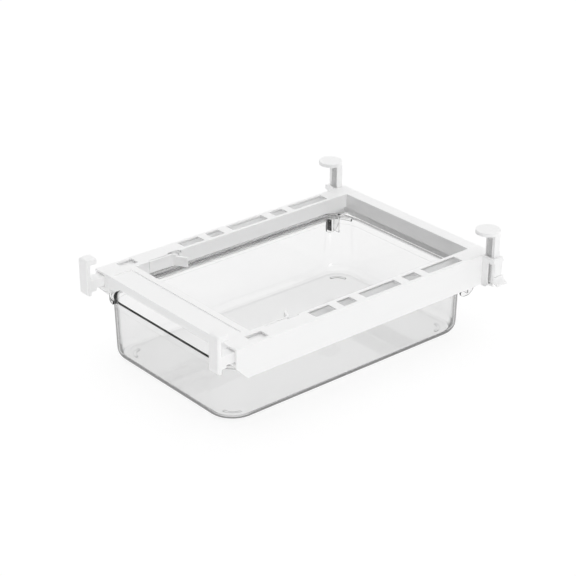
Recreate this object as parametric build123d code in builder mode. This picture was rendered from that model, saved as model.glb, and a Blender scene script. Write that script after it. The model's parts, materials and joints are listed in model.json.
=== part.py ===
from build123d import *
from math import radians, tan
import os

os.makedirs("parts", exist_ok=True)

# Under-shelf drawer, in millimetres. Z is up, the bin pulls out towards -Y.
# The part stands on the bin's feet, with its origin in the middle of its footprint.
# "back" is a depth behind the front face of the frame, "drop" a height below its top face.

# Frame
frame_width = 200.0        # over the outer faces of the rails
frame_depth = 293.4        # front face to rear face
rail_width = 17.8          # top face of a rail, across
rail_height = 29.6         # outer wall of a rail
plate = 2.8                # top plates and outer walls
inner_wall = 2.2           # inner wall of a rail
inner_drop = 13.6          # lower edge of that wall
rail_edge = 0.8            # rounding of the rails' long edges
nose_drop = 17.5           # where the rail's front corner starts to slope
nose_slope = 11.6          # how far back the slope runs
ledge_width = 5.6          # ledge that carries the bin
ledge_thick = 2.1
ledge_start = 9.5          # back from the front face

# Front guides, which hold the clamp arms
guide_step = 2.2           # how far a guide stands proud of the rail, towards the middle
guide_length = 44.0
guide_drop = 18.0          # underside of the guide
guide_floor = 3.0
guide_stop = 6.0           # depth of the narrow mouth that stops the rack
mouth_wall = 6.8           # wall beside the narrow mouth
rack_wall = 4.2            # wall beside the wider hollow behind it
floor_setback = 1.5        # floor behind the front face
mouth_lip = 4.0            # height of the set-back part of the inner wall

# Windows through the rail tops: depth behind the front face, and length
window_width = 11.0
window_margin = 3.4        # to the outer face
windows = [(19.4, 17.0), (87.2, 23.0), (118.8, 15.0), (143.8, 41.4), (194.5, 15.0), (217.8, 41.2)]

# Crossbars
front_bar_depth = 29.4
panel_front = 3.0          # rim in front of the sunk panel
panel_rear = 6.4           # rim behind it
panel_sink = 0.8
panel_end = 1.5            # rim at each end
apron_drop = 7.8           # middle of the front apron
apron_end_drop = 12.5      # its taller ends
apron_end = 9.0            # length of a taller end
apron_blend = 8.3          # length of the slope between the two
rib_thick = 1.8
rib_drop = 7.0
rib_count = 5
rear_bar_depth = 12.6
rear_inner_drop = 14.85    # inner face of the rear crossbar
rear_drop = 26.8           # its rear wall
tenon_length = 2.0         # front crossbar into a guide
tenon_start = 8.0
tenon_depth = 15.0
tenon_height = 6.0
tenon_drop = 4.0
rear_tenon_length = 8.0
rear_tenon_height = 8.0
fit = 0.05                 # around a tenon

# Bin
bin_rim_drop = 20.0        # rim below the top of the frame
bin_height = 58.7          # rim to underside
bin_wall = 2.0
bin_draft = 1.5            # degrees
bin_overhang = 6.8         # flange beyond the bin's side wall
bin_proud = 2.5            # bin in front of the frame
bin_rear_gap = 0.9         # bin to the rear crossbar's inner face
corner_radius = 26.1       # of the bin's base, at its outer corner
base_round = 9.5
rim_band = 7.5             # thicker band under the rim
rim_extra = 0.5
flange_thick = 2.0
flange_play = 1.0          # between the flange and the rail's outer wall
flange_radius = 28.3
lip_thick = 1.8
lip_height = 4.6
lip_play = 0.1             # between the lip and the ledge
lip_wrap = 24.2            # how far the lip runs round the flange's corners
foot_height = 0.8
foot_radius = 11.3         # outer edge of a foot rib
foot_width = 2.2
catch_inset = 3.4          # outer face of the rear catch, in from the flange's edge
catch_thick = 1.6
catch_end_gap = 0.8        # catch to the rear crossbar's inner face
catch_length = 17.0
catch_top = 28.5
catch_bottom = 40.0
catch_corner = 8.0
catch_web = 1.5
catch_pitch = 7.2          # between its two webs

# Clamp arms and jaws
slide = 0.3                # around an arm or a post
arm_neck_drop = 12.2       # underside of the neck
arm_out = 14.1             # back of the jaw plate to the front face of the frame, at rest
arm_length = 89.1          # from the jaw to the arm's tail
rack_start = 20.0
rack_pitch = 2.0
rack_teeth = 26
rack_depth = 0.9
head_depth = 6.2           # taller block behind the jaw
head_edge = 0.6
pocket_width = 5.0
pocket_depth = 3.2
pocket_sink = 2.5
jaw_width = 12.4
jaw_thick = 4.0
jaw_above = 16.5           # top of the jaw over the frame
jaw_below = 18.0           # bottom of the jaw under it
jaw_lip = 7.1              # hook behind the plate
jaw_lip_thick = 5.3
jaw_round = 2.6
jaw_edge = 1.2
jaw_shift = 0.5            # jaw's middle out from the arm's middle

# Release levers
lever_thick = 2.2
lever_gap = 0.35           # slot between the finger and the rail's top
lever_root_gap = 0.15
lever_height = 10.8
finger_end = 70.0          # where the finger turns in to its thumb tab
lever_tip_in = 13.0        # how far the tab reaches in
lever_tip_back = 7.5
finger_radius = 4.0        # of that turn
thumb_top = 1.5            # top of the thumb tab under the finger's top
finger_notch = 0.9         # notches in the finger's outer edge
lever_notch = 2.4          # notch in the rail's top beside the tab
notch_start = 67.0
inner_start = 79.0         # where the rail's inner wall starts
lever_teeth = 3
lever_tooth_start = 60.0

# Rear brackets, posts and pawls
bracket_depth = 12.5
bracket_top = 0.4
bracket_rim = 4.2
rim_out = 14.2
bracket_out = 13.2         # side face, out from the rail
bracket_front = 3.0
bracket_slope = 8.0        # slope under its outer corner
slot_in = 7.6              # start of the pawl's slot, out from the rail
slot_top = 5.0
slot_bottom = 26.0
side_bottom = 18.5
pawl_skin = 1.0            # bracket wall in front of the pawl
post_width = 11.0
post_depth = 6.7
post_above = 24.4          # under the round head, at rest
post_below = 28.5
head_radius = 11.3
head_thick = 3.5
head_forward = 7.3         # head's middle ahead of the post's middle
groove_width = 6.2
groove_margin = 1.2
groove_depth = 1.5
groove_top = 22.0
groove_bottom = 26.0
tooth_pitch = 1.5
tooth_height = 0.9
pawl_thick = 1.2
pawl_gap = 0.4             # between the pawl and the post
pawl_tab_gap = 0.6         # between its thumb tab and the bracket's channel
pawl_reach = 10.6
pawl_knee_drop = 23.0      # where its thumb tab turns out
pawl_tab_out = 18.5
pawl_tab_drop = 26.0
pawl_bottom = 24.0         # lower edge of its arm
pawl_teeth = 4
pawl_teeth_top = 8.0       # upper end of its teeth
pawl_tooth = 0.6           # height of its teeth
pawl_tab_back = 2.1        # how far the tab passes the frame's rear face
tab_radius = 3.5

# Places worked out from the sizes
top_z = bin_rim_drop + bin_height + foot_height
jaw_reach = arm_out + jaw_thick
front_y = -(frame_depth + pawl_tab_back - jaw_reach) / 2
rail_out = frame_width / 2
rail_in = rail_out - rail_width
wall_in = rail_out - plate
guide_in = rail_in - guide_step
bar_end = guide_in
rear_bar_start = frame_depth - rear_bar_depth
ledge_drop = bin_rim_drop + lip_height + lip_play
rim_z = top_z - bin_rim_drop
rim_grow = bin_height * tan(radians(bin_draft))
flange_out = wall_in - flange_play
rim_radius = corner_radius + rim_grow
corner_x = flange_out - bin_overhang - rim_radius
corner_front = rim_radius - bin_proud
corner_rear = rear_bar_start - bin_rear_gap - rim_radius
bin_middle = front_y + (corner_front + corner_rear) / 2
lip_inner = flange_out - lip_wrap
catch_reach = flange_out - catch_inset
catch_start = rear_bar_start - catch_end_gap - catch_length


def block(across, back, drop, mode=Mode.ADD):
    # A box between two x values, two depths behind the front face and two drops below the top
    with BuildSketch(Plane.XY.offset(top_z - drop[1])) as base:
        with Locations(((across[0] + across[1]) / 2, front_y + (back[0] + back[1]) / 2)):
            Rectangle(across[1] - across[0], back[1] - back[0])
    extrude(base.sketch, amount=drop[1] - drop[0], mode=mode)


def side_prism(points, x, width, mode=Mode.ADD):
    # A prism along X, from an outline of (back, drop) points
    with BuildSketch(Plane.YZ.offset(x)) as outline:
        with BuildLine():
            Polyline([(front_y + back, top_z - drop) for back, drop in points], close=True)
        make_face()
    extrude(outline.sketch, amount=width, mode=mode)


def front_prism(points, back, depth, mode=Mode.ADD):
    # A prism along Y, from an outline of (x, drop) points
    with BuildSketch(Plane.XZ.offset(-(front_y + back))) as outline:
        with BuildLine():
            Polyline([(x, top_z - drop) for x, drop in points], close=True)
        make_face()
    extrude(outline.sketch, amount=-depth, mode=mode)


def plan_prism(points, drop, mode=Mode.ADD):
    # A prism along Z, from an outline of (x, back) points
    with BuildSketch(Plane.XY.offset(top_z - drop[1])) as outline:
        with BuildLine():
            Polyline([(x, front_y + back) for x, back in points], close=True)
        make_face()
    extrude(outline.sketch, amount=drop[1] - drop[0], mode=mode)


# Rails: the right one is modelled, the left one is its mirror image
with BuildPart() as right_rail:
    block((rail_in, rail_out), (0, frame_depth), (0, plate))
    block((wall_in, rail_out), (0, frame_depth), (0, rail_height))
    block((rail_in, rail_in + inner_wall), (inner_start, rear_bar_start), (0, inner_drop))
    ledge_in = wall_in - ledge_width
    block((ledge_in, wall_in), (ledge_start, frame_depth - plate), (ledge_drop, ledge_drop + ledge_thick))
    block((rail_in, wall_in), (frame_depth - plate, frame_depth), (0, ledge_drop + ledge_thick))
    # Guide for the clamp arm, with a narrow mouth and a wider hollow behind it
    block((guide_in, wall_in), (0, guide_length), (0, guide_drop))
    guide_hollow = (plate, guide_drop - guide_floor)
    block((guide_in + mouth_wall, wall_in), (0, guide_stop), guide_hollow, mode=Mode.SUBTRACT)
    block((guide_in + rack_wall, wall_in), (guide_stop, guide_length), guide_hollow, mode=Mode.SUBTRACT)
    block((guide_in, wall_in), (0, floor_setback), (guide_drop - mouth_lip, guide_drop), mode=Mode.SUBTRACT)
    # Seat of the front crossbar's tenon
    seat_back = (tenon_start - fit, tenon_start + tenon_depth + fit)
    seat_drop = (tenon_drop - fit, tenon_drop + tenon_height + fit)
    block((guide_in, guide_in + tenon_length + fit), seat_back, seat_drop, mode=Mode.SUBTRACT)
    # Room for the lever beside the top plate
    notch = (rail_in, rail_in + lever_notch)
    block(notch, (notch_start, inner_start), (0, plate), mode=Mode.SUBTRACT)
    window_out = rail_out - window_margin
    for start, length in windows:
        block((window_out - window_width, window_out), (start, start + length), (0, plate), mode=Mode.SUBTRACT)
    slope = [(0, nose_drop), (nose_slope, rail_height), (0, rail_height)]
    side_prism(slope, wall_in, plate, mode=Mode.SUBTRACT)
    outer_edges = right_rail.edges().filter_by(Axis.Y).group_by(Axis.X)[-1]
    fillet(outer_edges, radius=rail_edge)
right_rail.part.label = "right_rail"

with BuildPart() as left_rail:
    mirror(right_rail.part, about=Plane.YZ)
left_rail.part.label = "left_rail"

# Front crossbar: sunk panel, apron with taller ends, rear rim and ribs
with BuildPart() as front_crossbar:
    block((-bar_end, bar_end), (0, front_bar_depth), (0, plate))
    panel_back = (panel_front, front_bar_depth - panel_rear)
    block((panel_end - bar_end, bar_end - panel_end), panel_back, (0, panel_sink), mode=Mode.SUBTRACT)
    tall_in = bar_end - apron_end
    low_in = tall_in - apron_blend
    apron = [(-bar_end, 0), (-bar_end, apron_end_drop), (-tall_in, apron_end_drop), (-low_in, apron_drop)]
    apron += [(-x, drop) for x, drop in reversed(apron)]
    front_prism(apron, 0, plate)
    block((-bar_end, bar_end), (front_bar_depth - plate, front_bar_depth), (0, apron_drop))
    for step in range(rib_count):
        middle = (step - (rib_count - 1) / 2) * 2 * low_in / rib_count
        rib = (middle - rib_thick / 2, middle + rib_thick / 2)
        block(rib, (plate, front_bar_depth - plate), (plate, rib_drop))
    tenon_back = (tenon_start, tenon_start + tenon_depth)
    for side in (-1, 1):
        near, far = sorted((side * (bar_end - plate), side * (bar_end + tenon_length)))
        block((near, far), tenon_back, (tenon_drop, tenon_drop + tenon_height))
        near, far = sorted((side * (bar_end - plate), side * bar_end))
        block((near, far), (0, front_bar_depth), (0, apron_end_drop))
front_crossbar.part.label = "front_crossbar"

# Rear crossbar: an inverted channel with a tenon into each rail
with BuildPart() as rear_crossbar:
    block((-rail_in, rail_in), (rear_bar_start, frame_depth), (0, plate))
    block((-rail_in, rail_in), (rear_bar_start, rear_bar_start + plate), (0, rear_inner_drop))
    block((-rail_in, rail_in), (frame_depth - plate, frame_depth), (0, rear_drop))
    for side in (-1, 1):
        near, far = sorted((side * (rail_in - plate), side * (rail_in + rear_tenon_length)))
        inside = (rear_bar_start + plate, frame_depth - plate)
        block((near, far), inside, (plate, plate + rear_tenon_height))
rear_crossbar.part.label = "rear_crossbar"


def bin_outline(grow):
    # The bin's base outline, grown outwards by a distance
    radius = corner_radius + grow
    with Locations((0, bin_middle)):
        RectangleRounded(2 * (corner_x + radius), corner_rear - corner_front + 2 * radius, radius)


def flange_outline(grow):
    # The outline of the flange, flush with the tub in front and behind
    length = corner_rear - corner_front + 2 * rim_radius
    with Locations((0, bin_middle)):
        RectangleRounded(2 * (flange_out + grow), length + 2 * grow, flange_radius + grow)


# The space inside the bin, cut out of the tub below
with BuildPart() as bin_hollow:
    with BuildSketch(Plane.XY.offset(foot_height + bin_wall)) as hollow_base:
        bin_outline(-bin_wall)
    extrude(hollow_base.sketch, amount=bin_height, taper=-bin_draft)
    fillet(bin_hollow.edges().group_by(Axis.Z)[0], radius=base_round - bin_wall)

# Bin: drafted tub with a flange, foot ribs and a catch at each rear corner
with BuildPart() as clear_bin:
    with BuildSketch(Plane.XY.offset(foot_height)) as tub_base:
        bin_outline(0)
    extrude(tub_base.sketch, amount=bin_height, taper=-bin_draft)
    fillet(clear_bin.edges().group_by(Axis.Z)[0], radius=base_round)
    # Flange with a lip that runs on the ledges of the rails
    with BuildSketch(Plane.XY.offset(rim_z - flange_thick)) as flange:
        flange_outline(0)
    extrude(flange.sketch, amount=flange_thick)
    with BuildSketch(Plane.XY.offset(rim_z - lip_height)) as lip:
        flange_outline(0)
        with BuildSketch(mode=Mode.PRIVATE) as lip_inside:
            flange_outline(-lip_thick)
            with Locations((0, bin_middle)):
                Rectangle(2 * lip_inner, frame_depth)
        add(lip_inside.sketch, mode=Mode.SUBTRACT)
    extrude(lip.sketch, amount=lip_height)
    # Catches: an upright plate on two webs under each rail
    for side in (-1, 1):
        plate_x = catch_reach - catch_thick if side > 0 else -catch_reach
        middle = (front_y + catch_start + catch_length / 2, top_z - (catch_top + catch_bottom) / 2)
        with BuildSketch(Plane.YZ.offset(plate_x)) as catch_face:
            with Locations(middle):
                Rectangle(catch_length, catch_bottom - catch_top)
            fillet(catch_face.vertices().group_by(Axis.Y)[0], radius=catch_corner)
        extrude(catch_face.sketch, amount=catch_thick)
        for web in range(2):
            back = catch_start + web * catch_pitch
            across = sorted((side * corner_x, side * (catch_reach - catch_thick)))
            block(across, (back, back + catch_web), (catch_top, catch_bottom - catch_corner))
    add(bin_hollow.part, mode=Mode.SUBTRACT)
    # Thicker band inside the rim
    with BuildSketch(Plane.XY.offset(rim_z - rim_band)) as band:
        bin_outline(rim_grow - bin_wall)
        with BuildSketch(mode=Mode.PRIVATE) as band_inside:
            bin_outline(rim_grow - bin_wall - rim_extra)
        add(band_inside.sketch, mode=Mode.SUBTRACT)
    extrude(band.sketch, amount=rim_band)
    # Quarter-round foot ribs under the corners
    foot_middle = foot_radius - foot_width / 2
    feet = [(1, corner_rear, 0), (-1, corner_rear, 90), (-1, corner_front, 180), (1, corner_front, 270)]
    for side, back, start in feet:
        with BuildSketch(Plane.XY) as foot:
            with BuildLine(Plane.XY):
                CenterArc((side * corner_x, front_y + back), foot_middle, start, 90)
            trace(line_width=foot_width)
        extrude(foot.sketch, amount=foot_height)
clear_bin.part.label = "bin"

# Clamp arms: a neck and rack in the guide, and a taller block behind the jaw
with BuildPart() as front_right_arm:
    arm_in = guide_in + mouth_wall + slide
    arm_top = plate + slide
    rack_in = guide_in + rack_wall + slide
    rack_bottom = guide_drop - guide_floor - slide
    block((arm_in, wall_in - slide), (-arm_out, arm_length - arm_out), (arm_top, arm_neck_drop))
    block((arm_in, wall_in - slide), (-arm_out, head_depth - arm_out), (arm_top, rack_bottom))
    block((rack_in, wall_in - slide), (rack_start, arm_length - arm_out), (arm_top, rack_bottom))
    for tooth in range(rack_teeth):
        back = rack_start + (tooth + 1) * rack_pitch
        gap = [(rack_in, back - rack_pitch / 2), (rack_in + rack_depth, back), (rack_in, back)]
        plan_prism(gap, (arm_top, rack_bottom), mode=Mode.SUBTRACT)
    jaw_x = (arm_in + wall_in - slide) / 2 + jaw_shift
    pocket = (jaw_x - pocket_width / 2, jaw_x + pocket_width / 2)
    block(pocket, (-arm_out, pocket_depth - arm_out), (arm_top, arm_top + pocket_sink), mode=Mode.SUBTRACT)
    front_edges = front_right_arm.faces().sort_by(Axis.Y)[0].edges()
    chamfer(front_edges, length=head_edge)
front_right_arm.part.label = "front_right_arm"

with BuildPart() as front_left_arm:
    mirror(front_right_arm.part, about=Plane.YZ)
front_left_arm.part.label = "front_left_arm"

# Jaws: an upright plate with a hook over the shelf's front edge
with BuildPart() as front_right_jaw:
    jaw_front = -arm_out - jaw_thick
    profile = [(jaw_front, -jaw_above), (jaw_lip - arm_out, -jaw_above)]
    profile += [(jaw_lip - arm_out, jaw_lip_thick - jaw_above), (-arm_out, jaw_lip_thick - jaw_above)]
    profile += [(-arm_out, jaw_below), (jaw_front, jaw_below)]
    side_prism(profile, jaw_x - jaw_width / 2, jaw_width)
    long_edges = front_right_jaw.edges().filter_by(Axis.X)
    fillet(long_edges.group_by(Axis.Y)[0], radius=jaw_round)
    fillet(front_right_jaw.faces().sort_by(Axis.Y)[0].edges(), radius=jaw_edge)
front_right_jaw.part.label = "front_right_jaw"

with BuildPart() as front_left_jaw:
    mirror(front_right_jaw.part, about=Plane.YZ)
front_left_jaw.part.label = "front_left_jaw"

# Release levers: a springy finger beside the rack, with a thumb tab and three teeth
with BuildPart() as right_release_lever:
    finger_x = rail_in - lever_gap - lever_thick / 2
    root = (finger_x, front_y + guide_length + lever_root_gap)
    bend = (finger_x, front_y + finger_end)
    tip = (finger_x - lever_tip_in, front_y + finger_end + lever_tip_back)
    with BuildSketch(Plane.XY.offset(top_z - lever_height)) as finger:
        with BuildLine():
            FilletPolyline(root, bend, tip, radius=finger_radius)
        trace(line_width=lever_thick)
    extrude(finger.sketch, amount=lever_height)
    finger_out = rail_in - lever_gap
    tab = (finger_x - lever_tip_in - lever_thick, finger_x - finger_radius)
    tab_back = (finger_end - lever_thick, finger_end + lever_tip_back + lever_thick)
    block(tab, tab_back, (0, thumb_top), mode=Mode.SUBTRACT)
    for tooth in range(lever_teeth):
        back = lever_tooth_start + tooth * rack_pitch
        pawl = [(finger_out, back), (rack_in - slide, back), (finger_out, back + rack_pitch)]
        plan_prism(pawl, (arm_top, lever_height))
        notch = (finger_out - finger_notch, finger_out)
        block(notch, (back, back + rack_pitch / 2), (0, arm_top), mode=Mode.SUBTRACT)
right_release_lever.part.label = "right_release_lever"

with BuildPart() as left_release_lever:
    mirror(right_release_lever.part, about=Plane.YZ)
left_release_lever.part.label = "left_release_lever"

# Rear brackets: a collar on the rail's side that guides the post
with BuildPart() as rear_right_bracket:
    bracket_back = (frame_depth - bracket_depth, frame_depth)
    block((rail_out, rail_out + bracket_out), bracket_back, (bracket_top, rail_height))
    block((rail_out, rail_out + rim_out), bracket_back, (bracket_top, bracket_top + bracket_rim))
    post_front = bracket_back[0] + bracket_front
    post_back = (post_front, post_front + slide + post_depth + slide)
    post_out = rail_out + slide + post_width + slide
    block((rail_out, post_out), post_back, (bracket_top, rail_height), mode=Mode.SUBTRACT)
    # Slot at the outer corner, and the thin front skin that covers the pawl
    slot = (rail_out + slot_in, rail_out + rim_out)
    block(slot, (bracket_back[0], post_back[0]), (slot_top, slot_bottom), mode=Mode.SUBTRACT)
    cover = (rail_out, rail_out + slot_in)
    skin_back = (bracket_back[0] + pawl_skin, post_back[0])
    block(cover, skin_back, (slot_top, slot_bottom), mode=Mode.SUBTRACT)
    # Open below the side panel, with a slope under the outer corner
    outside = (post_out, rail_out + rim_out)
    block(outside, bracket_back, (side_bottom, rail_height), mode=Mode.SUBTRACT)
    slope_in = rail_out + bracket_out - bracket_slope
    corner = [(slope_in, rail_height), (rail_out + bracket_out, rail_height - bracket_slope)]
    corner += [(rail_out + bracket_out, rail_height)]
    front_prism(corner, bracket_back[0], bracket_depth, mode=Mode.SUBTRACT)
rear_right_bracket.part.label = "rear_right_bracket"

with BuildPart() as rear_left_bracket:
    mirror(rear_right_bracket.part, about=Plane.YZ)
rear_left_bracket.part.label = "rear_left_bracket"

# Rear posts: a toothed post with a round head that lies on the shelf
with BuildPart() as rear_right_post:
    post_in = rail_out + slide
    front = post_back[0] + slide
    post_faces = (post_in, post_in + post_width)
    block(post_faces, (front, front + post_depth), (-post_above, post_below))
    groove = (post_in + groove_margin, post_in + groove_margin + groove_width)
    block(groove, (front, front + groove_depth), (-groove_top, groove_bottom), mode=Mode.SUBTRACT)
    tooth_count = int((groove_top + groove_bottom) / tooth_pitch) - 1
    for tooth in range(tooth_count):
        drop = groove_bottom - (tooth + 1) * tooth_pitch
        root_back = front + groove_depth
        outline = [(root_back, drop), (root_back - tooth_height, drop), (root_back, drop - tooth_pitch)]
        side_prism(outline, groove[0], groove_width)
    with BuildSketch(Plane.XY.offset(top_z + post_above)) as head:
        with Locations((post_in + post_width / 2, front_y + front + post_depth / 2 - head_forward)):
            Circle(head_radius)
    extrude(head.sketch, amount=head_thick)
    fillet(rear_right_post.edges().group_by(Axis.Z)[-1], radius=rail_edge)
rear_right_post.part.label = "rear_right_post"

with BuildPart() as rear_left_post:
    mirror(rear_right_post.part, about=Plane.YZ)
rear_left_post.part.label = "rear_left_post"

# Rear pawls: a front arm behind the bracket's skin, and a curved tab to press
with BuildPart() as rear_right_pawl:
    arm_rear = front - pawl_gap
    arm_faces = (arm_rear - pawl_thick, arm_rear)
    arm_end = rail_out + bracket_out - slide
    tab_in = post_out + pawl_tab_gap
    arm_start = arm_end - pawl_reach
    block((arm_start, arm_end), arm_faces, (slot_top + slide, pawl_bottom))
    for tooth in range(pawl_teeth):
        drop = pawl_teeth_top + (tooth + 1) * tooth_pitch
        outline = [(arm_rear, drop), (arm_rear + pawl_tooth, drop), (arm_rear, drop - tooth_pitch)]
        side_prism(outline, arm_start, groove[1] - slide - arm_start)
    with BuildSketch(Plane.XZ.offset(-(front_y + arm_faces[0]))) as tab:
        with BuildLine():
            tab_top = top_z - side_bottom - slide
            tab_bend = top_z - pawl_knee_drop
            tab_tip = (rail_out + pawl_tab_out, top_z - pawl_tab_drop)
            inside = [(tab_in, tab_top), (tab_in, tab_bend - pawl_thick), tab_tip]
            outside = [(tab_in + pawl_thick, tab_top), (tab_in + pawl_thick, tab_bend)]
            outside.append((tab_tip[0], tab_tip[1] + pawl_thick))
            FilletPolyline(*inside, radius=tab_radius + pawl_thick)
            FilletPolyline(*outside, radius=tab_radius)
            Line(inside[0], outside[0])
            Line(inside[-1], outside[-1])
        make_face()
    extrude(tab.sketch, amount=-(frame_depth + pawl_tab_back - arm_faces[0]))
rear_right_pawl.part.label = "rear_right_pawl"

with BuildPart() as rear_left_pawl:
    mirror(rear_right_pawl.part, about=Plane.YZ)
rear_left_pawl.part.label = "rear_left_pawl"

pieces = [left_rail, right_rail, front_crossbar, rear_crossbar, clear_bin]
pieces += [front_left_arm, front_right_arm, front_left_jaw, front_right_jaw]
pieces += [left_release_lever, right_release_lever, rear_left_bracket, rear_right_bracket]
pieces += [rear_left_post, rear_right_post, rear_left_pawl, rear_right_pawl]
for piece in pieces:
    export_step(piece.part, f"parts/{piece.part.label}.step")
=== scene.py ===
import json
from math import radians, sin, cos, tan

import bpy
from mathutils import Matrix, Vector


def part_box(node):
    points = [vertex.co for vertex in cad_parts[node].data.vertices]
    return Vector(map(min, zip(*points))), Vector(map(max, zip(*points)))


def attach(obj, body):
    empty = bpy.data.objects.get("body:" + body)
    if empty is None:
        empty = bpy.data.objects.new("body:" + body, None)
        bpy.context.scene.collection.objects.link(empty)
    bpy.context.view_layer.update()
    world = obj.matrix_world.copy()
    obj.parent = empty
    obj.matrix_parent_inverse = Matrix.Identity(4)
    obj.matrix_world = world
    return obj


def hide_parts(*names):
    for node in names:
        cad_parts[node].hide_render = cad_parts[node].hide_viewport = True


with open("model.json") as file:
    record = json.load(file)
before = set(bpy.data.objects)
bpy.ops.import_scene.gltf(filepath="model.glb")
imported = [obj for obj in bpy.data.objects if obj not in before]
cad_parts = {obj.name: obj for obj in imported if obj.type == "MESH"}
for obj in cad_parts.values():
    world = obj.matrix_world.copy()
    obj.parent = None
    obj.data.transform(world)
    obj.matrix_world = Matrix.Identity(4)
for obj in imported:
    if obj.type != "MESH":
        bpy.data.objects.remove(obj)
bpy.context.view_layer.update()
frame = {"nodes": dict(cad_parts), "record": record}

mm = 0.001
tiny = 0.001 * mm       # points closer than this are one point


def clearSelection():
    if bpy.context.object and bpy.context.object.mode != "OBJECT":
        bpy.ops.object.mode_set(mode="OBJECT")
    bpy.ops.object.select_all(action="DESELECT")


def pickOnly(piece):
    clearSelection()
    piece.select_set(True)
    bpy.context.view_layer.objects.active = piece


def objectMode():
    bpy.ops.object.mode_set(mode="OBJECT")


def editMode(piece, kind="FACE", action="SELECT"):
    # edit mode, with all or none of the piece selected
    pickOnly(piece)
    bpy.ops.object.mode_set(mode="EDIT")
    bpy.ops.mesh.select_mode(type=kind)
    bpy.ops.mesh.select_all(action=action)


def turnOutwards():
    # every face of the mesh in edit mode points out
    bpy.ops.mesh.select_all(action="SELECT")
    bpy.ops.mesh.normals_make_consistent(inside=False)
    objectMode()


def settle(piece, name):
    # the finished piece sits at the origin, with its place in its mesh
    pickOnly(piece)
    bpy.ops.object.transform_apply(location=True, rotation=True, scale=True)
    piece.name = name
    piece.data.name = name


def applyModifier(piece, kind, **settings):
    pickOnly(piece)
    modifier = piece.modifiers.new(kind.title(), kind)
    for key, value in settings.items():
        setattr(modifier, key, value)
    bpy.ops.object.modifier_apply(modifier=modifier.name)


def joinSolids(base, others, how="UNION", solver="EXACT"):
    # the others are used up
    for other in others:
        applyModifier(base, "BOOLEAN", operation=how, object=other, solver=solver)
        bpy.data.objects.remove(other, do_unlink=True)


def mergePoints(piece, distance, flatAngle=None):
    # close points become one, and faces that lie flat beside each other too
    editMode(piece)
    bpy.ops.mesh.remove_doubles(threshold=distance)
    if flatAngle:
        bpy.ops.mesh.dissolve_limited(angle_limit=radians(flatAngle))
    objectMode()


def smoothFaces(piece, angle, *materials):
    # folds up to the angle look soft, the rest stay crisp
    pickOnly(piece)
    bpy.ops.object.shade_smooth_by_angle(angle=radians(angle))
    applyModifier(piece, "WEIGHTED_NORMAL", mode="FACE_AREA", keep_sharp=True)
    piece.data.materials.clear()
    for material in materials:
        piece.data.materials.append(material)


def addBlock(name, low, high):
    # a block between two corners
    clearSelection()
    bpy.ops.mesh.primitive_cube_add(size=1, location=[(a + b) / 2 for a, b in zip(low, high)])
    piece = bpy.context.object
    piece.name = name
    piece.scale = [abs(b - a) for a, b in zip(low, high)]
    bpy.ops.object.transform_apply(location=True, rotation=True, scale=True)
    return piece


clearSelection()
print("frame loaded:", len(frame["nodes"]), "nodes")


# Materials

whitePlastic = {
    "colour": (0.972, 0.972, 0.972),
    "shade": (0.96, 0.96, 0.96),     # faint mottling of the moulding
    "mottleScale": 55.0,
    "mottleDetail": 3,
    "roughLow": 0.34,
    "roughHigh": 0.46,
    "grainScale": 2600.0,            # fine texture of the mould
    "grainDetail": 2,
    "grainDepth": 0.02 * mm,
    "glowThrough": 0.3,              # light that soaks through the thin walls
    "glowDepth": 0.6 * mm,
}

clearPlastic = {
    "colour": (0.99, 0.99, 0.99),
    "shade": (0.98, 0.98, 0.98),
    "hazeScale": 40.0,
    "hazeDetail": 3,
    "roughLow": 0.0,
    "roughHigh": 0.02,
    "waveScale": 18.0,               # slow waves in the wall
    "waveDetail": 1,
    "waveDepth": 0.02 * mm,
    "ior": 1.45,
    "coatRough": 0.02,
    "tint": (0.968, 0.968, 0.968),   # of the skin, darker where it is seen edge on
    "paintedRibShade": (0.18, 0.18, 0.18),   # painted shade: a dark tint on the sides of feet and webs, so that they show as dark outlines
    "paintedEdgeShade": (0.03, 0.03, 0.03),  # painted shade where the wall is seen edge on
    "wallTurn": (0.58, 0.80),        # how far a wall turns before it darkens, and until it is dark
    "baseTurn": (0.37, 0.58),        # the same on the rounded base
    "edgeFrom": (3.3 * mm, 3.6 * mm),    # heights between which the painted dark edge sets in
    "baseToWall": (8.0 * mm, 10.5 * mm),
}

noiseMiddle = (0.3, 0.7)    # where most of a noise lies


def newMaterial(name):
    material = bpy.data.materials.new(name)
    material.use_nodes = True
    tree = material.node_tree
    place = tree.nodes.new("ShaderNodeTexCoord")
    return material, tree, tree.nodes["Principled BSDF"], place


def addNoise(tree, place, scale, detail):
    noise = tree.nodes.new("ShaderNodeTexNoise")
    noise.inputs["Scale"].default_value = scale
    noise.inputs["Detail"].default_value = detail
    tree.links.new(place.outputs["Object"], noise.inputs["Vector"])
    return noise


def addRamp(tree, source, low, high):
    # a noise turned into values from low to high
    ramp = tree.nodes.new("ShaderNodeMapRange")
    ramp.inputs["From Min"].default_value = noiseMiddle[0]
    ramp.inputs["From Max"].default_value = noiseMiddle[1]
    ramp.inputs["To Min"].default_value = low
    ramp.inputs["To Max"].default_value = high
    tree.links.new(source, ramp.inputs["Value"])
    return ramp.outputs["Result"]


def addTwoTone(tree, source, first, second):
    mix = tree.nodes.new("ShaderNodeMix")
    mix.data_type = "RGBA"
    mix.inputs["A"].default_value = (*first, 1)
    mix.inputs["B"].default_value = (*second, 1)
    tree.links.new(source, mix.inputs["Factor"])
    return mix.outputs["Result"]


def addBump(tree, shader, height, depth):
    bump = tree.nodes.new("ShaderNodeBump")
    bump.inputs["Distance"].default_value = depth
    tree.links.new(height, bump.inputs["Height"])
    tree.links.new(bump.outputs["Normal"], shader.inputs["Normal"])


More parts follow.
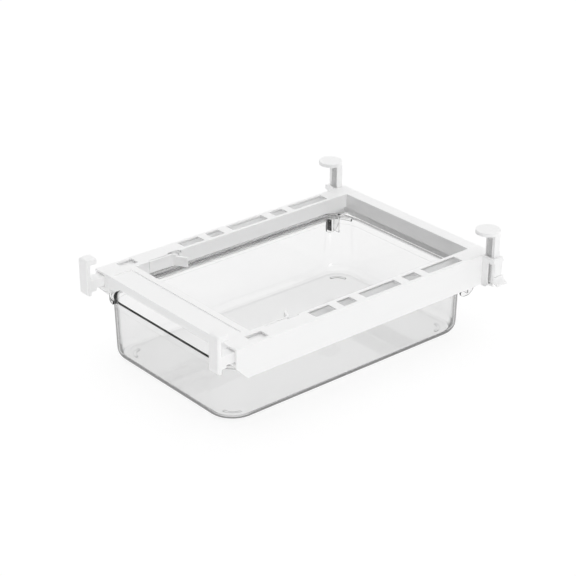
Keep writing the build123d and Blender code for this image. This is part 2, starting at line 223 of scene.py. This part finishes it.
def makeWhitePlastic():
    look = whitePlastic
    material, tree, shader, place = newMaterial("white_plastic")
    mottle = addNoise(tree, place, look["mottleScale"], look["mottleDetail"])
    grain = addNoise(tree, place, look["grainScale"], look["grainDetail"])
    tone = addTwoTone(tree, mottle.outputs["Fac"], look["colour"], look["shade"])
    tree.links.new(tone, shader.inputs["Base Color"])
    rough = addRamp(tree, grain.outputs["Fac"], look["roughLow"], look["roughHigh"])
    tree.links.new(rough, shader.inputs["Roughness"])
    addBump(tree, shader, grain.outputs["Fac"], look["grainDepth"])
    shader.inputs["Subsurface Weight"].default_value = look["glowThrough"]
    shader.inputs["Subsurface Radius"].default_value = (1, 1, 1)
    shader.inputs["Subsurface Scale"].default_value = look["glowDepth"]
    return material


def addRange(tree, source, start, end, low=0.0, high=1.0):
    # a soft step from low to high, with numbers or other nodes' outputs as its limits
    step = tree.nodes.new("ShaderNodeMapRange")
    step.interpolation_type = "SMOOTHSTEP"
    limits = {"From Min": start, "From Max": end, "To Min": low, "To Max": high}
    for name, value in limits.items():
        if isinstance(value, (int, float)):
            step.inputs[name].default_value = value
        else:
            tree.links.new(value, step.inputs[name])
    tree.links.new(source, step.inputs["Value"])
    return step.outputs["Result"]


def makeClearPlastic(name, tint):
    look = clearPlastic
    material, tree, shader, place = newMaterial(name)
    haze = addNoise(tree, place, look["hazeScale"], look["hazeDetail"])
    wave = addNoise(tree, place, look["waveScale"], look["waveDetail"])
    tone = addTwoTone(tree, haze.outputs["Fac"], look["colour"], look["shade"])
    # painted shade: a clear wall is painted darker where it turns away from view, over a wider band
    # on the rounded base
    height = tree.nodes.new("ShaderNodeSeparateXYZ")
    tree.links.new(place.outputs["Object"], height.inputs["Vector"])
    above = addRange(tree, height.outputs["Z"], *look["edgeFrom"])
    start, end = [addRange(tree, height.outputs["Z"], *look["baseToWall"], base, wall)
                  for base, wall in zip(look["baseTurn"], look["wallTurn"])]
    turn = tree.nodes.new("ShaderNodeLayerWeight")
    turn.inputs["Blend"].default_value = 0.5
    edge = addRange(tree, turn.outputs["Facing"], start, end, 0.0, above)
    paintedShadeMix = tree.nodes.new("ShaderNodeMix")
    paintedShadeMix.data_type = "RGBA"
    paintedShadeMix.inputs["B"].default_value = (*look["paintedEdgeShade"], 1)
    tree.links.new(edge, paintedShadeMix.inputs["Factor"])
    tree.links.new(tone, paintedShadeMix.inputs["A"])
    tree.links.new(paintedShadeMix.outputs["Result"], shader.inputs["Base Color"])
    rough = addRamp(tree, haze.outputs["Fac"], look["roughLow"], look["roughHigh"])
    tree.links.new(rough, shader.inputs["Roughness"])
    addBump(tree, shader, wave.outputs["Fac"], look["waveDepth"])
    shader.inputs["Transmission Weight"].default_value = 1.0
    shader.inputs["IOR"].default_value = look["ior"]
    shader.inputs["Coat Weight"].default_value = 1.0
    shader.inputs["Coat Roughness"].default_value = look["coatRough"]
    shader.inputs["Coat IOR"].default_value = 1.0
    shader.inputs["Coat Tint"].default_value = (*tint, 1)
    return material


white = makeWhitePlastic()
clear = makeClearPlastic("clear_plastic", clearPlastic["tint"])
# a second clear material whose dark tint is painted shade, for the sides of the feet and webs
clearPaintedRibShade = makeClearPlastic("clear_plastic_painted_rib_shade", clearPlastic["paintedRibShade"])
print("materials made")


# White mouldings: the solids with their edges rounded as the moulds leave them

moulding = {
    "steps": 3,             # of a rounded edge
    "angle": 32.0,          # sharper folds than this are rounded
    "merge": 0.002 * mm,
    "flat": 1.0,            # folds under this many degrees are taken out
    "smooth": 40.0,
    "topDepth": 1 * mm,     # corners this near the top count as the top's
    "cutApart": 0.05 * mm,
}
cutAlong = {"left_rail": [1], "front_crossbar": [0, 1]}     # 0 is X and 1 is Y


def cutAtTopCorners(piece, axis):
    # split the faces in line with every corner of the top face, so that windows stay clean holes
    points = [vertex.co for vertex in piece.data.vertices]
    top = max(point.z for point in points) - moulding["topDepth"]
    places = sorted(point[axis] for point in points if point.z > top)
    cuts = [place for place, before in zip(places[1:], places)
            if place - before > moulding["cutApart"]]
    normal = Vector((0, 0, 0))
    normal[axis] = 1
    editMode(piece)
    for cut in cuts[:-1]:
        bpy.ops.mesh.select_all(action="SELECT")
        bpy.ops.mesh.bisect(plane_co=normal * cut, plane_no=normal, threshold=tiny)
    objectMode()


# Hollows cut after the rounding, in mm: out from the middle, back from the front, down from the top
hollows = {
    "windows": ((19.4, 36.4), (87.2, 110.2), (118.8, 133.8),
                (143.8, 185.2), (194.5, 209.5), (217.8, 259.0)),
    "windowOut": (83.2, 99.0),
    "windowDown": (1.5, 2.9),       # leaves a thin edge round each window
    "underEdge": 2.4,               # how far the hollow runs under that edge
    "mouth": ((86.3, 98.1), (-1.0, 5.9), (2.0, 15.4)),              # gap round the arm
    "notch": ((82.0, 88.5), (66.0, 81.0), (0.5, 2.9)),              # beside the lever's tab
    "slotUnder": ((82.0, 83.4), (46.0, 67.0), (0.35, 2.9)),         # along the lever, in the rail
    "fingerSlot": ((81.3, 82.0), (46.0, 66.5), (-1.0, 4.0)),        # along the lever, in itself
    "rack": ((101.1, 108.1), (284.0, 289.8), (23.2, 24.35)),        # lowest slot of a post
    "rackPitch": 1.5,
    "rackCount": 30,
    "pawlRack": ((103.2, 110.5), (282.0, 284.2), (22.0, 22.9)),     # lowest slot of a pawl
    "pawlCount": 11,
}
railLow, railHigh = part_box("left_rail")
frameFront, frameTop = railLow[1], railHigh[2]


def hollowBlock(side, out, back, down):
    low = (side * out[0] * mm, frameFront + back[0] * mm, frameTop - down[1] * mm)
    high = (side * out[1] * mm, frameFront + back[1] * mm, frameTop - down[0] * mm)
    return addBlock("hollow", low, high)


def hollowsOf(node):
    # the blocks to cut out of a moulding
    side = -1 if "left" in node else 1
    under = hollows["underEdge"]
    if node.endswith("rail"):
        out, down = hollows["windowOut"], hollows["windowDown"]
        blocks = [hollowBlock(side, out, (start - under, end + under), down)
                  for start, end in hollows["windows"]]
        others = ("mouth", "notch", "slotUnder")
        return blocks + [hollowBlock(side, *hollows[place]) for place in others]
    if node.endswith("lever"):
        return [hollowBlock(side, *hollows["fingerSlot"])]
    racks = {"post": ("rack", "rackCount"), "pawl": ("pawlRack", "pawlCount")}
    for ending, (place, count) in racks.items():
        if node.endswith(ending):
            slots = hollowBlock(side, *hollows[place])
            applyModifier(slots, "ARRAY", count=hollows[count],
                          use_relative_offset=False, use_constant_offset=True,
                          constant_offset_displace=(0, 0, hollows["rackPitch"] * mm))
            return [slots]
    return []


def roundedMoulding(node, edge):
    # a copy of the solid, merged, rounded and cut
    source = frame["nodes"][node]
    piece = source.copy()
    piece.data = source.data.copy()
    piece.parent = None
    for key in list(piece.keys()):
        del piece[key]
    bpy.context.scene.collection.objects.link(piece)
    mergePoints(piece, moulding["merge"], moulding["flat"])
    for axis in cutAlong.get(node, []):
        cutAtTopCorners(piece, axis)
    applyModifier(piece, "BEVEL", width=edge, segments=moulding["steps"],
                  limit_method="ANGLE", angle_limit=radians(moulding["angle"]),
                  use_clamp_overlap=True, harden_normals=False, miter_outer="MITER_ARC")
    blocks = hollowsOf(node)
    if blocks:
        pickOnly(blocks[0])
        for block in blocks:
            block.select_set(True)
        bpy.ops.object.join()
        joinSolids(piece, blocks[:1], "DIFFERENCE", "MANIFOLD")
        mergePoints(piece, moulding["merge"])
    return piece


def mirroredMoulding(piece):
    # the right piece is the left one's mirror image
    other = piece.copy()
    other.data = piece.data.copy()
    bpy.context.scene.collection.objects.link(other)
    pickOnly(other)
    other.scale = (-1, 1, 1)
    bpy.ops.object.transform_apply(location=True, rotation=True, scale=True)
    editMode(other)
    turnOutwards()
    return other


def finishMoulding(piece, node):
    smoothFaces(piece, moulding["smooth"], white)
    settle(piece, "moulded_" + node)
    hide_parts(node)
    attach(piece, bodyOf[node])


edges = {                           # radius of the edges
    "left_rail": 0.5 * mm,
    "front_crossbar": 0.35 * mm,
    "rear_crossbar": 0.5 * mm,
    "front_left_arm": 0.25 * mm,
    "front_left_jaw": 0.4 * mm,
    "left_release_lever": 0.3 * mm,
    "rear_left_bracket": 0.3 * mm,
    "rear_left_post": 0.2 * mm,
    "rear_left_pawl": 0.2 * mm,
}

bodies = frame["record"]["behaviour"]["bodies"]
bodyOf = {node: body for body, group in bodies.items() for node in group}
for node, edge in edges.items():
    piece = roundedMoulding(node, edge)
    if "left" in node:
        finishMoulding(mirroredMoulding(piece), node.replace("left", "right"))
    finishMoulding(piece, node)
print("white mouldings made:", len(edges), "of them from the left or the middle")


# Clear bin: tub, rim, lips, catches and feet are joined, then the inside is cut out

clearBin = {
    "overhang": 6.8 * mm,       # rim beyond the tub's side wall
    "rimProud": 0.3 * mm,       # rim in front of the tub's end walls
    "cornerRadius": 27.6 * mm,  # tub, at the rim
    "cornerSteps": 20,
    "draft": 1.5,               # degrees
    "wall": 2.0 * mm,
    "baseRound": 9.5 * mm,
    "roundSteps": 10,
    "bandDepth": 7.5 * mm,      # thicker band under the rim
    "bandExtra": 0.5 * mm,
    "softEdge": 0.35 * mm,      # of the mouth
    "softSteps": 4,
    "above": 0.6 * mm,          # the cutter stands out of the mouth
    "past": 1 * mm,             # and runs past the band
    "flat": 0.2,                # folds under this many degrees are taken out
    "smooth": 35.0,
}
rimSizes = {
    "radius": 28.3 * mm,
    "thick": 2.0 * mm,
    "softEdge": 0.25 * mm,
    "lipThick": 1.8 * mm,
    "lipHeight": 4.6 * mm,
    "lipWrap": 24.2 * mm,       # how far the lip follows the rim inwards
}
catchSizes = {
    "inset": 3.4 * mm,
    "thick": 1.6 * mm,
    "length": 17.0 * mm,
    "short": 0.1 * mm,          # ends short of the rim
    "top": 4.0 * mm,            # under the rim
    "bottom": 20.0 * mm,
    "frontCorner": 4.5 * mm,
    "rearCorner": 9.0 * mm,
    "cornerSteps": 12,
    "web": 1.5 * mm,
    "webInset": 0.4 * mm,
    "webPitch": 8.5 * mm,
    "webReach": 6 * mm,         # into the tub, where the inside is cut away
    "webBottoms": (15.5 * mm, 18.5 * mm),
    "softEdge": 0.2 * mm,
    "softSteps": 2,
}
footSizes = {
    "height": 0.8 * mm,
    "radius": 10.2 * mm,
    "width": 2.2 * mm,
    "steps": 14,
    "softEdge": 0.25 * mm,
    "softSteps": 2,
}

binLow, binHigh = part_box("bin")
rimTop = binHigh[2]
rimHalf = (binHigh[0], (binHigh[1] - binLow[1]) / 2)
binMiddle = (binLow[1] + binHigh[1]) / 2
tubHalf = (rimHalf[0] - clearBin["overhang"], rimHalf[1] - clearBin["rimProud"])


def pickFaces(piece, test):
    # edit mode with only the faces that pass a test selected
    editMode(piece, "FACE", "DESELECT")
    objectMode()
    for face in piece.data.polygons:
        face.select = test(face)
    bpy.ops.object.mode_set(mode="EDIT")


def pickEdges(piece, test):
    # edit mode with only the edges whose two ends pass a test selected
    editMode(piece, "EDGE", "DESELECT")
    objectMode()
    points = [vertex.co for vertex in piece.data.vertices]
    for edge in piece.data.edges:
        edge.select = test(points[edge.vertices[0]], points[edge.vertices[1]])
    bpy.ops.object.mode_set(mode="EDIT")


def roundedSheet(name, half, radius, height):
    # a flat sheet with rounded corners, facing up
    clearSelection()
    bpy.ops.mesh.primitive_plane_add(size=2, location=(0, binMiddle, height))
    sheet = bpy.context.object
    sheet.name = name
    sheet.scale = (half[0], half[1], 1)
    bpy.ops.object.transform_apply(location=True, rotation=True, scale=True)
    editMode(sheet)
    bpy.ops.mesh.bevel(offset=radius, segments=clearBin["cornerSteps"], affect="VERTICES",
                       clamp_overlap=False)
    objectMode()
    return sheet


def sinkSheet(sheet, steps):
    # inset the sheet again and again, each time further in and down
    editMode(sheet)
    for inward, down in steps:
        bpy.ops.mesh.inset(thickness=inward, depth=-down, use_even_offset=True)
    objectMode()


def closeUp(piece):
    # fill the open top and turn every face outwards
    editMode(piece, "EDGE", "DESELECT")
    bpy.ops.mesh.select_non_manifold()
    bpy.ops.mesh.edge_face_add()
    bpy.ops.mesh.select_mode(type="FACE")
    turnOutwards()


def quarterRound(radius, steps, lean):
    # inward and down for each step of a rounded foot, from a wall that leans by an angle
    points = []
    for step in range(steps + 1):
        turn = radians(lean) + (radians(90) - radians(lean)) * step / steps
        points.append((-radius * cos(turn), radius * sin(turn)))
    return [(after[0] - before[0], after[1] - before[1])
            for before, after in zip(points, points[1:])]


def tubSolid(name, half, cornerRadius, top, bottom, baseRound):
    # a drafted tub with a rounded base, closed at the top
    lean = clearBin["draft"]
    wallDepth = top - bottom - baseRound * (1 - sin(radians(lean)))
    tub = roundedSheet(name, half, cornerRadius, top)
    wallStep = (wallDepth * tan(radians(lean)), wallDepth)
    sinkSheet(tub, [wallStep] + quarterRound(baseRound, clearBin["roundSteps"], lean))
    closeUp(tub)
    return tub


def makeRim():
    # a thin rounded plate, the size of the rim outside
    edge = rimSizes["softEdge"]
    half = (rimHalf[0] - edge, rimHalf[1] - edge)
    rim = roundedSheet("rim", half, rimSizes["radius"] - edge, rimTop)
    editMode(rim)
    bpy.ops.mesh.extrude_region_move(TRANSFORM_OT_translate={"value": (0, 0, -rimSizes["thick"])})
    turnOutwards()
    pickFaces(rim, lambda face: abs(face.normal.z) < 0.5)       # the upright ones
    bpy.ops.mesh.inset(thickness=edge, depth=edge, use_even_offset=True)
    objectMode()
    return rim


def makeLip(side):
    # the skirt under the rim on one side
    lip = roundedSheet("lip", rimHalf, rimSizes["radius"], rimTop - rimSizes["thick"] / 2)
    editMode(lip)
    bpy.ops.mesh.inset(thickness=rimSizes["lipThick"], depth=0, use_even_offset=True)
    bpy.ops.mesh.delete(type="FACE")
    bpy.ops.mesh.select_all(action="SELECT")
    inside = side * (rimHalf[0] - rimSizes["lipWrap"])
    bpy.ops.mesh.bisect(plane_co=(inside, 0, 0), plane_no=(side, 0, 0), clear_inner=True)
    bpy.ops.mesh.select_all(action="SELECT")
    drop = rimSizes["lipHeight"] - rimSizes["thick"] / 2
    bpy.ops.mesh.extrude_region_move(TRANSFORM_OT_translate={"value": (0, 0, -drop)})
    turnOutwards()
    return lip


def makeCatch(side):
    # an upright plate with rounded lower corners, and the two webs that hold it
    size = catchSizes
    outside = rimHalf[0] - size["inset"]
    rear = binHigh[1] - size["short"]
    top, bottom = rimTop - size["top"], rimTop - size["bottom"]
    plateX, plateY = outside - size["thick"] / 2, rear - size["length"] / 2
    half = (top + bottom) / 2
    clearSelection()
    bpy.ops.mesh.primitive_cube_add(size=1, location=(side * plateX, plateY, half))
    plate = bpy.context.object
    plate.name = "catch"
    plate.scale = (size["thick"], size["length"], top - bottom)
    bpy.ops.object.transform_apply(location=True, rotation=True, scale=True)
    for corner, way in ((size["frontCorner"], -1), (size["rearCorner"], 1)):
        # the lower edge that runs through the plate at this end
        pickEdges(plate, lambda a, b: max(a.z, b.z) < half and abs(a.x - b.x) > size["thick"] / 2
                  and (a.y - plateY) * way > size["length"] / 4)
        bpy.ops.mesh.bevel(offset=corner, segments=size["cornerSteps"], affect="EDGES",
                           clamp_overlap=False)
        objectMode()
    pieces = [plate]
    for number, depth in enumerate(size["webBottoms"]):
        front = rear - size["length"] + size["webInset"] + number * size["webPitch"]
        across = sorted((side * (tubHalf[0] - size["webReach"]), side * plateX))
        web = addBlock("web", (across[0], front, rimTop - depth),
                       (across[1], front + size["web"], top))
        editMode(web)
        bpy.ops.mesh.bevel(offset=size["softEdge"], segments=size["softSteps"], affect="EDGES")
        objectMode()
        pieces.append(web)
    return pieces


def makeFoot(sideX, sideY):
    # a quarter ring under a corner of the base, half of its height inside the base
    size, inset = footSizes, clearBin["cornerRadius"]
    centre = (sideX * (tubHalf[0] - inset), binMiddle + sideY * (tubHalf[1] - inset), 0)
    height = 2 * size["height"]
    clearSelection()
    bpy.ops.mesh.primitive_plane_add(size=1, location=(0, 0, 0), rotation=(radians(90), 0, 0))
    foot = bpy.context.object
    foot.name = "foot"
    foot.scale = (size["width"], height, 1)
    foot.location = (centre[0] + sideX * size["radius"], centre[1], height / 2)
    bpy.ops.object.transform_apply(location=True, rotation=True, scale=True)
    editMode(foot)
    bpy.ops.mesh.bevel(offset=size["softEdge"], segments=size["softSteps"], affect="VERTICES")
    bpy.ops.mesh.select_all(action="SELECT")
    bpy.ops.mesh.spin(steps=size["steps"], angle=-radians(90) * sideX * sideY, center=centre,
                      axis=(0, 0, 1))
    bpy.ops.mesh.select_all(action="SELECT")
    bpy.ops.mesh.remove_doubles(threshold=tiny)
    turnOutwards()
    return foot


def outerSolids():
    # all that the bin has on its outside, in one piece
    tub = tubSolid("clear_bin", tubHalf, clearBin["cornerRadius"], rimTop - rimSizes["thick"] / 2,
                   footSizes["height"], clearBin["baseRound"])
    others = [makeRim()] + [makeLip(side) for side in (-1, 1)]
    for side in (-1, 1):
        others += makeCatch(side)
    others += [makeFoot(x, y) for x in (-1, 1) for y in (-1, 1)]
    joinSolids(tub, others)
    return tub


def insideSolids():
    # a drafted space under the band, and a narrower one through the rim
    size = clearBin
    wall, extra, edge = size["wall"], size["bandExtra"], size["softEdge"]
    shrink = (size["bandDepth"] - rimSizes["thick"] / 2) * tan(radians(size["draft"]))
    inner = (tubHalf[0] - wall - shrink, tubHalf[1] - wall - shrink)
    space = tubSolid("space", inner, size["cornerRadius"] - wall - shrink,
                     rimTop - size["bandDepth"], footSizes["height"] + wall,
                     size["baseRound"] - wall)
    mouthHalf = (tubHalf[0] - wall - extra, tubHalf[1] - wall - extra)
    mouth = roundedSheet("mouth", (mouthHalf[0] + edge, mouthHalf[1] + edge),
                         size["cornerRadius"] - wall - extra + edge, rimTop + size["above"])
    sinkSheet(mouth, [(0, size["above"])] + quarterRound(edge, size["softSteps"], 0)
              + [(0, size["bandDepth"] + size["past"] - edge)])
    closeUp(mouth)
    return [space, mouth]


def paintRibShade(tub):
    # the upright sides of the feet, and the front and back of the catches' webs, get the material
    # with painted shade
    webTop, webLow = rimTop - catchSizes["top"], rimTop - catchSizes["bottom"]
    webSide = tubHalf[0] - 1 * mm
    for face in tub.data.polygons:
        middle, normal = face.center, face.normal
        onFoot = abs(normal.z) < 0.7 and middle.z < footSizes["height"]
        onWeb = abs(normal.y) > 0.9 and webLow < middle.z < webTop and abs(middle.x) > webSide
        face.material_index = 1 if onFoot or onWeb else 0


def makeBin():
    tub = outerSolids()
    print("bin's solids joined")
    joinSolids(tub, insideSolids(), "DIFFERENCE")
    mergePoints(tub, moulding["merge"], clearBin["flat"])
    smoothFaces(tub, clearBin["smooth"], clear, clearPaintedRibShade)
    paintRibShade(tub)
    settle(tub, "clear_bin")
    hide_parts("bin")
    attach(tub, "drawer")


makeBin()
print("bin made")


# Floor, light and camera

studio = {
    "floorSize": 80.0,
    "floorColour": (0.2, 0.2, 0.2),
    "floorGlow": 0.83,
    "floorGrain": 30.0,
    "floorShade": 0.995,        # the grain's darker tone, as a share of the colour
    "floorRough": 0.9,
    "floorShine": 0.1,
    "skyLight": {               # way to each light, and its strength
        "left": ((-1, 0, 0), 0.40),
        "behind": ((0, 1, 0), 0.44),
        "above": ((0, 0, 1), 1.06),
    },
    "fillFrom": (0.97, -0.12, 0.21),
    "fillStrength": 0.58,
    "fillSpread": 20.0,         # degrees
}


def makeFloor():
    clearSelection()
    bpy.ops.mesh.primitive_plane_add(size=studio["floorSize"], location=(0, 0, 0))
    floor = bpy.context.object
    floor.name = "floor"
    material, tree, shader, place = newMaterial("pale_floor")
    grain = addNoise(tree, place, studio["floorGrain"], 2)
    colour = studio["floorColour"]
    darker = tuple(studio["floorShade"] * part for part in colour)
    tone = addTwoTone(tree, grain.outputs["Fac"], colour, darker)
    tree.links.new(tone, shader.inputs["Base Color"])
    shader.inputs["Roughness"].default_value = studio["floorRough"]
    shader.inputs["Specular IOR Level"].default_value = studio["floorShine"]
    shader.inputs["Emission Color"].default_value = (1, 1, 1, 1)
    shader.inputs["Emission Strength"].default_value = studio["floorGlow"]
    floor.data.materials.append(material)


def makeSky():
    # soft light from the left, from behind and from above
    world = bpy.data.worlds.new("studio")
    bpy.context.scene.world = world
    world.use_nodes = True
    tree = world.node_tree
    place = tree.nodes.new("ShaderNodeTexCoord")
    total = None
    for way, strength in studio["skyLight"].values():
        lean = tree.nodes.new("ShaderNodeVectorMath")
        lean.operation = "DOT_PRODUCT"
        lean.inputs[1].default_value = [strength * part for part in way]
        tree.links.new(place.outputs["Generated"], lean.inputs[0])
        lit = tree.nodes.new("ShaderNodeMath")
        lit.operation = "MAXIMUM"
        lit.inputs[1].default_value = 0.0
        tree.links.new(lean.outputs["Value"], lit.inputs[0])
        if total:
            both = tree.nodes.new("ShaderNodeMath")
            tree.links.new(total, both.inputs[0])
            tree.links.new(lit.outputs["Value"], both.inputs[1])
            total = both.outputs["Value"]
        else:
            total = lit.outputs["Value"]
    background = tree.nodes["Background"]
    tree.links.new(total, background.inputs["Strength"])
    background.inputs["Color"].default_value = (1, 1, 1, 1)


def makeFill():
    # a weak soft light that casts no shadow, so that the inside isn't dark
    light = bpy.data.lights.new("fill", "SUN")
    light.energy = studio["fillStrength"]
    light.angle = radians(studio["fillSpread"])
    light.use_shadow = False
    lamp = bpy.data.objects.new("fill", light)
    bpy.context.scene.collection.objects.link(lamp)
    lamp.rotation_euler = (-Vector(studio["fillFrom"])).to_track_quat("-Z", "Y").to_euler()


makeFloor()
makeSky()
makeFill()

cameraSetup = {
    "azimuth": 50.02,
    "elevation": 26.12,
    "place": (1.06781, -0.89641, 0.73748),
    "lens": 108.6,
    "sensor": 36,
}
camera = bpy.data.objects.new("camera", bpy.data.cameras.new("camera"))
bpy.context.scene.collection.objects.link(camera)
camera.location = cameraSetup["place"]
tilt, turn = radians(90 - cameraSetup["elevation"]), radians(cameraSetup["azimuth"])
camera.rotation_euler = (tilt, 0, turn)
camera.data.lens = cameraSetup["lens"]
camera.data.sensor_width = cameraSetup["sensor"]
bpy.context.scene.camera = camera
bpy.context.scene.view_settings.view_transform = "Standard"
print("studio made")
